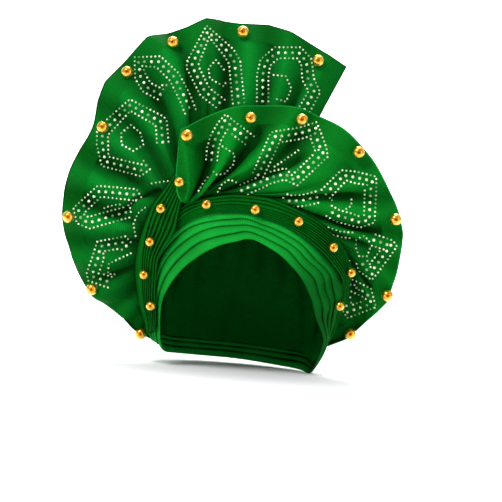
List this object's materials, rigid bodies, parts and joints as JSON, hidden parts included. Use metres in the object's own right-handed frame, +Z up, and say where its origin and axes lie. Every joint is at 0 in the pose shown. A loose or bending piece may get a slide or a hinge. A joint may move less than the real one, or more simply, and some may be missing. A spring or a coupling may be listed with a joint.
{
  "type": "tied gele head tie",
  "caption": "Stiff green head tie folded into two pleated fans over a banded cap, with crossed sashes, stone ornament and gold beads.",
  "frame": {"origin": "the spot on the crown cap's inside that rests on the top of the head", "axes": "+Z up along the head, -Y the way the face looks, +X the viewer's right"},
  "size_m": [0.3124, 0.2145, 0.3205],
  "materials": {
    "fan_cloth": "ribbed brocade, satin",
    "band_cloth": "ribbed brocade, satin",
    "sash_cloth": "finely pleated brocade",
    "bead_gold": "polished gold colour"
  },
  "bodies": {
    "root": {"crown_cap": "fan_cloth", "forehead_band": "band_cloth", "right_sash": "sash_cloth", "left_sash": "sash_cloth", "back_fan": "fan_cloth", "front_fan": "fan_cloth", "back_fan_bead_1": "bead_gold", "back_fan_bead_2": "bead_gold", "back_fan_bead_3": "bead_gold", "back_fan_bead_4": "bead_gold", "back_fan_bead_5": "bead_gold", "back_fan_bead_6": "bead_gold", "back_fan_bead_7": "bead_gold", "back_fan_bead_8": "bead_gold", "front_fan_bead_1": "bead_gold", "front_fan_bead_2": "bead_gold", "front_fan_bead_3": "bead_gold", "front_fan_bead_4": "bead_gold", "front_fan_bead_5": "bead_gold", "front_fan_bead_6": "bead_gold", "front_fan_bead_7": "bead_gold", "left_sash_bead_1": "bead_gold", "left_sash_bead_2": "bead_gold", "left_sash_bead_3": "bead_gold", "left_sash_bead_4": "bead_gold", "left_sash_bead_5": "bead_gold", "right_sash_bead_1": "bead_gold", "right_sash_bead_2": "bead_gold", "right_sash_bead_3": "bead_gold", "right_sash_bead_4": "bead_gold", "right_sash_bead_5": "bead_gold", "right_sash_bead_6": "bead_gold"}
  },
  "joints": []
}
